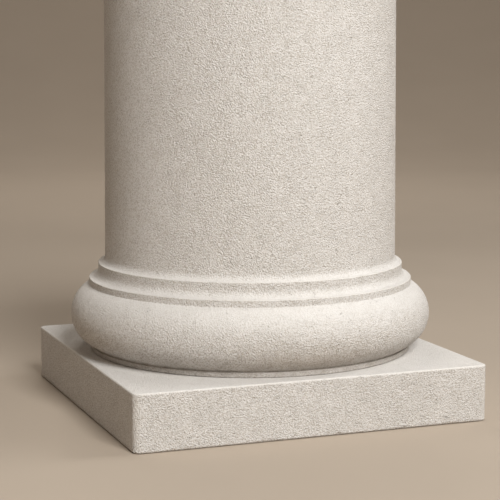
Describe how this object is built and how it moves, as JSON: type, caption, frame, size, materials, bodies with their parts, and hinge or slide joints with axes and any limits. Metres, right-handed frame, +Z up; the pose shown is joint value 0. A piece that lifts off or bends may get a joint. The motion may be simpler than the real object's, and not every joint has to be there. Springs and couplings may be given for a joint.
{
  "type": "column base",
  "caption": "Foot of a plain round stone column: square plinth, round base moulding with a torus and two fillets, and a short length of shaft.",
  "frame": {"origin": "centre of the plinth's underside", "axes": "+Z up along the column's axis; X and Y square to the plinth's sides; the picture looks from the -Y side, a little from -X"},
  "size_m": [0.3714, 0.3714, 0.4156],
  "materials": {
    "stone": "fine-grained pale stone with a matt, lightly tooled surface"
  },
  "bodies": {
    "root": {"plinth": "stone", "base_moulding": "stone", "shaft": "stone"}
  },
  "joints": []
}
